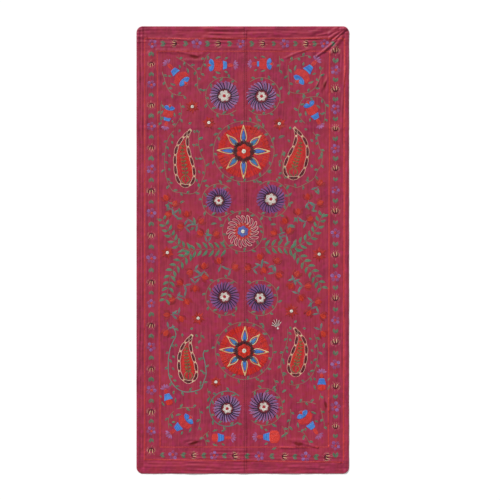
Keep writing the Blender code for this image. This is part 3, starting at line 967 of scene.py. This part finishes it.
# Pomegranates
# Twelve stylised fruits: a blue crown of two lobes with a red dot between them, a red body, a blue cup, a flame stem
# and a lilac tassel, with green leaves beside them. Four of the lower ones have no crown.
Fruit = collections.namedtuple("Fruit", "x y heading size spread tail cup_rows crowned")
FRUITS = [
    Fruit(-12.2, 91.3, 0, 1.0, 1.0, 0.0, 5, True),
    Fruit(10.1, 91.9, 180, 0.92, 1.0, -0.9, 3, True),
    Fruit(-30.8, 85.2, 133, 1.0, 1.35, 0.8, 7, True),
    Fruit(29.8, 86.3, 48, 1.05, 1.35, 0.0, 9, True),
    Fruit(-36.8, 67.4, -102, 0.85, 1.0, 0.0, 5, True),
    Fruit(34.3, 69.1, -62, 0.95, 1.0, 0.0, 7, True),
    Fruit(-36.3, -75.2, 106, 1.0, 0.85, 0.0, 8, False),
    Fruit(39.0, -67.9, 90, 1.0, 0.92, 0.2, 8, False),
    Fruit(-28.9, -85.2, -142, 1.0, 1.3, 0.0, 8, True),
    Fruit(31.2, -83.5, -52, 1.0, 1.35, 1.0, 8, True),
    Fruit(-13.7, -92.7, 0, 1.0, 0.95, 2.4, 8, False),
    Fruit(15.6, -92.3, 180, 1.0, 1.55, 1.4, 8, False),
]


def pomegranate(spread, tail, cup_rows, crowned):
    """A pomegranate round the middle of its body, with its tassel to the right. A wide crowned body is a crescent, and
    an uncrowned one is round. The spread is its breadth, and the tail is how much further the rest stands off."""
    rows = collections.defaultdict(list)
    corner = crowned and spread > 1.2
    crown = -1.3 if corner else -1.9
    length = 2.5 if crowned else 1.8 * spread
    for number in range(15):
        share = (number - 7) / 7
        front = length * math.sqrt(1 - 0.65 * share**2) - 2.4 * corner * abs(share) * (spread - 1)
        back = -front
        if crowned:
            back = -0.8 - 3.7 * (spread - 1) * abs(share) if corner else -1.9
        across = share * spread * (2.65 if crowned else 1.85)
        rows["red"].append(line([(back, across), (front, across)], 0.42 * max(spread, 0.8)))
    for side in (-1, 1):
        if crowned:
            rows["blue"] += petal((crown, 0.0), (crown - 1.9, 3.1 * side), 2.5, rows=6, bow=0.5 * side, belly=0.55,
                                  layer=1)
        rows["green"] += petal((-1.3, 3.1 * side * spread), (1.4, 4.1 * side * spread), 1.0, rows=2, bow=0.2 * side)
        rows["green"] += petal((3.2, 2.9 * side), (4.9, 3.9 * side), 1.0, rows=2)
    if crowned:
        rows["flame"] += petal((crown - 1.6, 0.0), (crown - 3.3, 0.0), 1.5, rows=3, layer=1)
        rows["pink"].append(line([(crown - 3.0, 1.1), (crown - 3.6, 0.0), (crown - 3.0, -1.1)], 0.26))
    cup = length + 0.1 + 0.4 * tail if crowned else 0.9 * length
    for number in range(cup_rows):
        along = cup + 0.38 * number
        half = 2.2 - 0.12 * number if cup_rows > 3 else 1.4
        rows["blue"].append(line([(along, -half), (along + 0.15, 0.0), (along, half)], 0.44, 1))
    stem = cup + 0.38 * cup_rows
    tassel = stem + (2.9 if crowned else 2.0) + 0.5 * tail
    rows["flame"] += petal((stem, 0.0), (tassel + 0.9, 0.0), 1.9, rows=4, belly=0.4)
    for angle in (-60, -30, 0, 30, 60):
        far = polar(2.8, angle)
        rows["lilac"] += petal((tassel, 0.0), (tassel + far[0], far[1]), 0.95, rows=2, belly=0.7)
    return rows


fruit_rows = collections.defaultdict(list)
for fruit in FRUITS:
    motif = pomegranate(fruit.spread, fruit.tail, fruit.cup_rows, fruit.crowned)
    add_motif(fruit_rows, motif, fruit.x, fruit.y, fruit.heading, fruit.size)
fruit_floss = silk_floss("pomegranate red", "#E2382A", "#C82C28")
crown_floss = silk_floss("bright blue", "#4F96DE", "#3A6CC4")
tassel_floss = silk_floss("orchid", "#A878B4", "#A0507E")
embroider("pomegranate_bodies", fruit_rows["red"], fruit_floss)
embroider("pomegranate_crowns", fruit_rows["blue"], crown_floss)
embroider("pomegranate_stems", fruit_rows["flame"], flame_floss)
embroider("pomegranate_tassels", fruit_rows["lilac"], tassel_floss)
embroider("pomegranate_leaves", fruit_rows["green"], leaf_floss)
embroider("pomegranate_notches", fruit_rows["pink"], pink_floss)

# Star flowers
# Eight small red stars have long thin points, maroon stitches between them, and a white eye in a thin maroon ring.
# With them is one white carnation, opened like a fan. All are worked in short rows of chain stitch in silk floss.
Star = collections.namedtuple("Star", "x y radius start")
STARS = [
    Star(-24.9, 70.8, 3.4, 5),
    Star(-16.7, 62.9, 3.1, 20),
    Star(18.1, 62.4, 3.3, 0),
    Star(-37.2, -1.3, 3.1, 10),
    Star(37.8, -2.1, 3.6, 0),
    Star(-22.0, -33.7, 3.3, 15),
    Star(24.1, -30.2, 3.6, 5),
    Star(-13.2, -65.2, 2.8, 0),
]
FAN_X = 17.4
FAN_Y = -38.7
FAN_HEADING = 108

star_rows = collections.defaultdict(list)
for star in STARS:
    points = 12
    for number in range(points):
        angle = star.start + 360 * number / points
        reach = star.radius * (1.08 if number % 2 else 0.86)
        spike = petal(polar(0.7, angle), polar(reach, angle), 1.15, rows=2, belly=0.35, layer=1)
        star_rows["star"] += place(spike, star.x, star.y)
        gap = petal(polar(0.8, angle + 15), polar(1.9, angle + 15), 0.46, rows=1)
        star_rows["maroon"] += place(gap, star.x, star.y)
    star_rows["maroon"] += place([hoop(1.0, 0.3, 1)], star.x, star.y)
    star_rows["white"] += dot(star.x, star.y, 0.85, 2, 0.32)
# The white carnation stands above the lower right-hand paisley.
fan_rows = {"white": dot(0.0, 0.0, 0.55, 1), "maroon": []}
for number in range(11):
    angle = 9 * number - 45
    colour = "maroon" if number % 2 else "white"
    far = 4.9 - 0.03 * abs(angle)
    fan_rows[colour].append(spoke(1.0, far, 0.75 * angle, 0.25 * angle, 0.3, 0.55 if number % 2 else 0.34))
add_motif(star_rows, fan_rows, FAN_X, FAN_Y, FAN_HEADING)
star_floss = silk_floss("dark red", "#C42A1E", "#8E1616")
embroider("star_points", star_rows["star"], star_floss)
embroider("star_rings", star_rows["maroon"], maroon_floss)
embroider("star_eyes", star_rows["white"], white_floss)

# Fern branches
# Two green branches leave the middle rosette, one to each side, and each forks to the border above and below. Their
# leaves stand in pairs and lean outwards. Every leaf is filled with three rows of blue-green floss.
Branch = collections.namedtuple("Branch", "leaf_every leaf_length points")
BRANCHES = [
    Branch(3.0, 4.0, [(-6.5, 0.8), (-9.0, 0.6), (-14.8, 0.3), (-20.6, 0.3), (-24.2, -0.4), (-26.8, -2.2),
                      (-29.0, -4.1), (-31.8, -6.9), (-34.0, -9.5), (-35.5, -12.0), (-36.4, -16.5), (-37.3, -21.7),
                      (-38.4, -25.1)]),
    Branch(3.0, 3.6, [(-24.2, -0.4), (-28.4, 0.6), (-31.5, 2.1), (-33.7, 4.3), (-35.1, 6.5), (-36.4, 9.0),
                      (-38.2, 12.3), (-39.4, 14.8)]),
    Branch(3.1, 4.0, [(9.2, 1.2), (17.2, 1.7), (20.4, 1.4), (23.7, 0.6), (26.2, -1.1), (28.4, -3.7), (30.9, -6.6),
                      (34.9, -11.7), (38.2, -17.2), (39.1, -19.0)]),
    Branch(3.1, 3.6, [(23.7, 0.6), (28.0, 2.5), (31.6, 4.6), (33.8, 6.5), (36.0, 9.4), (37.1, 11.5), (37.8, 13.7),
                      (39.4, 17.3)]),
]

FERN_LEAF_ANGLE = 52


def on_stem(stem, at):
    """The place and the heading of a stem at a distance along it."""
    gone = distances(stem)
    x, y, run_x, run_y = [np.interp(at, gone, values) for values in (*stem.T, *np.gradient(stem, axis=0).T)]
    return x, y, math.degrees(math.atan2(run_y, run_x))


fern_rows = []
for branch in BRANCHES:
    stem = smooth_path(branch.points)
    stem_length = distances(stem)[-1]
    fern_rows.append(Row(stem, 0.24, 0))
    leaf_at = branch.leaf_every * 0.6
    while leaf_at < stem_length:
        x, y, heading = on_stem(stem, leaf_at)
        length = branch.leaf_length * (1.18 - 0.3 * leaf_at / stem_length)
        for side in (-1, 1):
            leaf = petal((0.35, 0.0), (length, 0.0), 1.4, rows=3, bow=0.3 * side, belly=0.45)
            fern_rows += place(leaf, x, y, heading + FERN_LEAF_ANGLE * side)
        leaf_at += branch.leaf_every
fern_floss = silk_floss("fern green", "#3E9470", "#2C7A5C")
embroider("fern_branches", fern_rows, fern_floss)

# Tulip buds
# Small red tulips fill the field above and below the branches. Each is a bright cup between two dark crimson outer
# petals, on a short grey-green stem with two leaves.
Bud = collections.namedtuple("Bud", "x y heading")
BUDS = [
    # left-hand half, from the top
    Bud(-37.9, 25.7, 120), Bud(-33.6, 22.8, 60), Bud(-36.8, 17.7, 180), Bud(-27.5, 17.7, 100), Bud(-30.7, 11.6, 170),
    Bud(-20.6, 14.2, 40), Bud(-20.9, 8.2, 150), Bud(-13.1, 7.9, 20), Bud(-26.1, -11.1, 200), Bud(-19.1, -8.0, 90),
    Bud(-18.7, -13.5, -20), Bud(-31.0, -16.3, 150), Bud(-23.6, -19.0, -90), Bud(-11.7, -5.4, 110),
    Bud(-3.8, -8.4, 30), Bud(-34.9, -24.5, -160), Bud(-27.5, -25.5, -60), Bud(-37.4, -32.0, 180),
    Bud(-30.5, -34.0, -60), Bud(-37.9, -41.0, -120),
    # right-hand half, from the top
    Bud(38.2, 33.1, 60), Bud(32.2, 26.2, 100), Bud(38.2, 23.2, 20), Bud(27.3, 18.8, 90), Bud(20.9, 14.3, 130),
    Bud(33.2, 15.3, 30), Bud(15.4, 8.4, 160), Bud(22.8, 9.4, 60), Bud(8.5, -3.5, 120), Bud(16.9, -5.4, 60),
    Bud(2.6, -8.9, 170), Bud(10.5, -9.9, -60), Bud(17.9, -12.4, -30), Bud(26.8, -11.9, 60), Bud(23.8, -17.8, -120),
    Bud(32.2, -17.8, 0), Bud(28.8, -23.7, -60), Bud(37.2, -25.7, 0), Bud(32.7, -31.1, -120), Bud(39.7, -32.6, -30),
    Bud(39.7, -41.5, -60),
]


def tulip_bud():
    """A tulip with its stem to the left and its cup opening to the right."""
    rows = collections.defaultdict(list)
    rows["red"] += petal((-1.7, 0.0), (1.9, 0.0), 2.5, rows=6, belly=0.5, layer=1)
    for side in (-1, 1):
        rows["maroon"] += petal((-1.6, 0.4 * side), (1.9, 2.0 * side), 1.8, rows=4, bow=0.45 * side, belly=0.45)
        rows["green"] += petal((-2.6, 0.2 * side), (-5.2, 2.3 * side), 1.05, rows=2)
    rows["green"].append(line([(-3.6, 0.1), (-2.6, 0.0), (-1.7, 0.0)], 0.3))
    return rows


bud_rows = collections.defaultdict(list)
for bud in BUDS:
    add_motif(bud_rows, tulip_bud(), bud.x, bud.y, bud.heading)
bud_floss = silk_floss("tulip red", "#D23C20", "#B0201C")
bud_edge_floss = silk_floss("dark crimson", "#B42428", "#80101C")
stem_floss = silk_floss("grey-green", "#5A8C80", "#46706C")
embroider("tulip_cups", bud_rows["red"], bud_floss)
embroider("tulip_outer_petals", bud_rows["maroon"], bud_edge_floss)
embroider("tulip_stems", bud_rows["green"], stem_floss)

# Vines
# A thin vine in olive floss goes round every large flower and fruit, with small leaves to either side of it. Each is
# one bold row of chain stitch. Loose leaves fill the places between.
VINE_WIDTH = 0.40
Vine = collections.namedtuple("Vine", "leaf_every points closed", defaults=[False])
VINES = [
    # round the fruit in the top left-hand corner
    Vine(3.4, [(-32.8, 95.4), (-30.6, 94.0), (-27.8, 92.3), (-25.0, 90.2), (-22.9, 87.8), (-22.2, 84.3),
               (-22.2, 80.1), (-20.6, 77.1)]),
    Vine(3.4, [(-39.8, 88.1), (-38.9, 85.0), (-37.8, 81.5), (-36.1, 78.4), (-33.3, 76.7), (-28.8, 76.3)]),
    Vine(2.6, [(-16.3, 97.1), (-18.1, 95.4), (-19.4, 92.3), (-20.5, 89.5), (-20.6, 86.5)]),
    # beside the fruit on the left
    Vine(3.0, [(-31.0, 72.6), (-30.3, 69.7), (-30.2, 67.0), (-31.7, 63.7), (-34.0, 60.3)]),
    Vine(3.0, [(-40.0, 73.5), (-40.6, 70.0), (-40.6, 66.0), (-40.0, 62.0)]),
    # round the upper paisley on the left
    Vine(3.6, [(-34.0, 58.9), (-36.4, 55.8), (-37.8, 51.7), (-38.5, 47.8), (-38.7, 42.6), (-38.0, 37.1),
               (-36.8, 33.0), (-34.4, 29.1), (-30.6, 28.4), (-27.0, 27.7), (-24.0, 28.1), (-21.5, 30.5),
               (-20.1, 34.0), (-18.6, 38.5), (-18.8, 43.7), (-20.5, 47.1), (-21.7, 51.7), (-21.9, 55.8),
               (-21.2, 58.9)]),
    # round the fruit in the top right-hand corner
    Vine(3.4, [(22.6, 91.3), (22.4, 86.8), (22.9, 81.9), (23.2, 78.4), (26.4, 77.4), (31.9, 77.7), (35.7, 80.1),
               (37.8, 84.0), (38.5, 88.1), (39.9, 90.2)]),
    Vine(3.0, [(22.9, 92.6), (25.0, 94.0), (28.8, 95.4), (32.6, 96.1)]),
    Vine(2.8, [(18.1, 95.8), (18.4, 91.3), (17.9, 88.0)]),
    # beside the fruit on the right
    Vine(3.2, [(30.9, 62.5), (29.2, 64.2), (27.7, 66.7), (27.7, 70.1), (29.2, 73.9), (31.9, 75.3), (37.5, 75.6),
               (40.2, 73.6), (40.9, 69.8), (40.6, 65.6), (39.9, 62.2)]),
    Vine(3.0, [(6.3, 66.0), (7.6, 62.8), (9.5, 59.8)]),
    # round the upper paisley on the right
    Vine(3.6, [(34.7, 58.3), (36.8, 55.1), (37.8, 51.0), (39.2, 47.1), (38.9, 42.6), (36.8, 38.8), (35.1, 35.4),
               (31.6, 33.0), (27.1, 30.9), (24.3, 31.6), (20.8, 32.3)]),
    Vine(3.4, [(19.9, 49.4), (18.9, 45.5), (19.8, 42.6), (19.4, 38.8), (20.8, 35.0)]),
    # beside the lower paisley on the left
    Vine(3.0, [(-20.5, -40.5), (-20.8, -43.0), (-20.5, -45.5)]),
    # round the lower paisley on the right
    Vine(3.6, [(22.2, -38.9), (22.2, -44.1), (21.2, -47.9), (19.8, -51.4), (19.1, -54.5), (18.9, -58.0),
               (19.8, -62.2), (20.8, -65.6)]),
    Vine(3.6, [(35.4, -41.5), (36.9, -46.9), (37.2, -51.9), (36.2, -57.3), (34.2, -61.8), (30.7, -65.2),
               (26.3, -66.7), (22.8, -66.2)]),
    Vine(2.4, [(15.3, -63.5), (16.2, -65.7), (16.7, -67.3)]),
    # round the fruit in the bottom left-hand corner
    Vine(3.2, [(-21.5, -78.2), (-21.0, -82.0), (-21.2, -85.8), (-22.2, -89.2)]),
    Vine(3.0, [(-32.6, -78.5), (-28.5, -77.8), (-24.0, -77.8)]),
    Vine(3.2, [(-34.0, -79.6), (-36.1, -82.0), (-36.8, -85.4), (-36.4, -88.2)]),
    Vine(2.6, [(-17.4, -68.4), (-17.0, -71.2), (-15.6, -74.0)]),
    Vine(2.6, [(-16.7, -89.6), (-19.4, -92.0), (-18.4, -94.4), (-17.7, -96.5)]),
    # round the fruit in the bottom right-hand corner
    Vine(3.2, [(23.6, -78.5), (23.8, -82.3), (22.9, -86.5), (22.2, -91.0)]),
    Vine(3.0, [(19.4, -87.0), (20.9, -89.9), (21.4, -93.9)]),
    Vine(3.0, [(26.7, -75.4), (30.6, -75.0), (34.0, -75.4), (36.2, -76.1)]),
    Vine(3.2, [(38.5, -78.2), (39.2, -81.6), (40.2, -85.4), (40.2, -88.2)]),
    Vine(3.2, [(27.1, -89.6), (29.9, -90.3), (32.0, -93.4), (33.3, -96.2)]),
    Vine(2.6, [(38.5, -70.8), (37.8, -74.2)]),
]
# Round the lower paisley on the left, and the rosette below it, the vine is broader and worked in grey-green floss.
BROAD_VINE_WIDTH = 0.60
BROAD_VINES = [
    Vine(3.6, [(-34.7, -36.9), (-33.0, -41.7), (-34.4, -45.2), (-35.8, -48.6), (-36.6, -53.1), (-36.8, -58.0),
               (-36.4, -62.2), (-34.7, -66.0), (-32.0, -68.7), (-28.5, -70.1), (-24.0, -69.8), (-20.5, -68.4),
               (-19.5, -65.6), (-18.1, -61.5), (-18.6, -56.0), (-19.5, -51.8), (-18.8, -49.4)]),
]
LooseLeaf = collections.namedtuple("LooseLeaf", "x y heading length")
LOOSE_LEAVES = [LooseLeaf(*row) for row in [
    # among the buds and vines on the right, from the top
    (19.1, 55.8, 20, 3.4), (14.8, 54.0, 100, 2.4), (36.5, 55.3, 70, 2.4),
    (39.2, 47.0, 85, 3.4), (13.3, 39.0, 30, 2.4), (7.2, 33.9, -60, 2.2),
    (36.5, 28.5, -45, 3.0), (23.7, 27.4, 60, 2.2), (23.3, 22.3, 100, 2.2),
    (32.0, 20.9, -50, 3.0), (35.3, 19.2, -5, 3.0), (39.8, 16.9, 70, 2.8),
    (26.2, 14.9, -55, 3.4), (15.1, 12.5, 0, 2.8), (24.2, 11.4, -10, 3.2),
    (18.8, 10.0, -75, 3.4), (20.5, -69.8, 40, 2.6), (24.0, -72.0, 130, 2.8),
    (40.2, -47.2, 80, 2.6), (9.4, -64.9, 20, 2.4), (9.4, -36.9, -30, 2.4),
    # and on the left
    (-20.8, 54.9, 15, 2.8), (-13.2, 57.1, 20, 2.8), (-23.0, 34.3, -50, 2.4),
    (-6.7, 33.9, 10, 2.8), (-29.9, 23.6, 30, 2.4), (-37.2, 21.6, -30, 3.0),
    (-31.3, 19.1, -80, 3.6), (-31.3, 15.3, 5, 3.2), (-24.1, 14.2, -80, 4.2),
    (-24.8, 10.4, 40, 2.8), (-14.3, 12.9, 10, 3.0), (-17.2, 8.9, 80, 3.4),
]]


def leafy(vine, random):
    """A vine's own row, and its leaves, which grow from each side in turn."""
    stem = smooth_path(vine.points, vine.closed)
    leaves = []
    leaf_at = vine.leaf_every * 0.5
    side = 1
    while leaf_at < distances(stem)[-1]:
        x, y, heading = on_stem(stem, leaf_at)
        leaf = petal((0.1, 0.0), (random.uniform(1.9, 2.8), 0.0), 1.15, rows=3, bow=0.15 * side, belly=0.5)
        leaves += place(leaf, x, y, heading + side * random.uniform(38, 62))
        side = -side
        leaf_at += vine.leaf_every * random.uniform(0.8, 1.2)
    return Row(stem, VINE_WIDTH, 0), leaves


vine_random = np.random.default_rng(17)
for flower in MEDALLIONS + [Round(MIDDLE_X, MIDDLE_Y, MIDDLE_RADIUS, 0)]:
    reach = flower.radius + 1.9
    ring = [(flower.x + polar(reach, angle)[0], flower.y + polar(reach, angle)[1]) for angle in range(0, 360, 30)]
    VINES.append(Vine(3.8, ring, True))
for flower in ROSETTES:
    reach = flower.radius + 1.8
    towards_seam = 0 if flower.x < 0 else 180
    arc = [polar(reach, towards_seam + angle) for angle in range(46, 315, 24)]
    vines = BROAD_VINES if flower.y < -78 else VINES
    vines.append(Vine(3.4, [(flower.x + x, flower.y + y) for x, y in arc]))
vine_rows = []
vine_leaves = []
for paisley in PAISLEYS:
    halo = even_path(drop_edge(paisley, -1.9, 121), 13)
    for number in range(1, 12):
        along = halo[number + 1] - halo[number - 1]
        turn = math.degrees(math.atan2(along[1], along[0])) + vine_random.uniform(20, 60)
        vine_leaves += place(petal((-0.9, 0.0), (0.9, 0.0), 1.15, rows=3), *halo[number], turn)
for leaf in LOOSE_LEAVES:
    half = leaf.length / 2
    vine_leaves += place(petal((-half, 0.0), (half, 0.0), 0.7 + 0.18 * leaf.length, rows=3, bow=0.2), leaf.x, leaf.y,
                         leaf.heading)
for vine in VINES:
    stem, leaves = leafy(vine, vine_random)
    vine_rows.append(stem)
    vine_leaves += leaves
broad_rows = []
for vine in BROAD_VINES:
    stem, leaves = leafy(vine, vine_random)
    broad_rows.append(stem._replace(width=BROAD_VINE_WIDTH))
    vine_leaves += leaves
vine_floss = silk_floss("olive", "#8C7A60", "#766852")
embroider("vine_stems", vine_rows, vine_floss)
embroider("vine_leaves", vine_leaves, leaf_floss)
embroider("vine_broad_stems", broad_rows, stem_floss)

# Floor
# A plain white studio table under the cloth. It glows a little, so that it reads as white.
FLOOR_WHITE = "#FDFDFC"
FLOOR_GLOW = 0.16

floor_mesh = bpy.data.meshes.new("studio_floor")
floor_mesh.from_pydata([(-6, -6, 0), (6, -6, 0), (6, 6, 0), (-6, 6, 0)], [], [(0, 1, 2, 3)])
floor = bpy.data.objects.new("studio_floor", floor_mesh)
bpy.context.scene.collection.objects.link(floor)
white_card = bpy.data.materials.new("matt white card")
white_card.use_nodes = True
card_shader = white_card.node_tree.nodes["Principled BSDF"]
card_shader.inputs["Base Color"].default_value = linear(FLOOR_WHITE)
card_shader.inputs["Roughness"].default_value = 0.9
card_shader.inputs["Emission Color"].default_value = linear(FLOOR_WHITE)
card_shader.inputs["Emission Strength"].default_value = FLOOR_GLOW
floor_mesh.materials.append(white_card)

# Light
# A broad soft lamp from the upper left, low enough to show the folds, and an even white surround.
LAMP_STRENGTH = 3.7
LAMP_SPREAD = 10
LAMP_FROM = (-0.65, 0.85, 0.60)
SURROUND_STRENGTH = 0.33

lamp_data = bpy.data.lights.new("soft_lamp", "SUN")
lamp_data.energy = LAMP_STRENGTH
lamp_data.angle = math.radians(LAMP_SPREAD)
lamp = bpy.data.objects.new("soft_lamp", lamp_data)
bpy.context.scene.collection.objects.link(lamp)
lamp.rotation_euler = (math.atan2(math.hypot(LAMP_FROM[0], LAMP_FROM[1]), LAMP_FROM[2]), 0.0,
                       math.atan2(LAMP_FROM[1], LAMP_FROM[0]) + math.pi / 2)
surround = bpy.data.worlds.new("white_surround")
surround.use_nodes = True
surround.node_tree.nodes["Background"].inputs["Color"].default_value = linear("#FFFFFF")
surround.node_tree.nodes["Background"].inputs["Strength"].default_value = SURROUND_STRENGTH
bpy.context.scene.world = surround
bpy.context.scene.view_settings.view_transform = "Standard"

# Camera
# It hangs straight above the cloth with a long lens. The photograph's frame is 2.47 m across, and its middle lies
# 3.6 cm to the right of the cloth's.
FRAME_WIDTH = 2.4705
FRAME_OFFSET = 0.0358
LENS = 100.0
SENSOR = 36.0

camera_data = bpy.data.cameras.new("camera")
camera_data.lens = LENS
camera_data.sensor_width = SENSOR
camera_data.clip_end = 50.0
camera = bpy.data.objects.new("camera", camera_data)
camera.location = (FRAME_OFFSET, 0.0, FRAME_WIDTH * LENS / SENSOR)
bpy.context.scene.collection.objects.link(camera)
bpy.context.scene.camera = camera
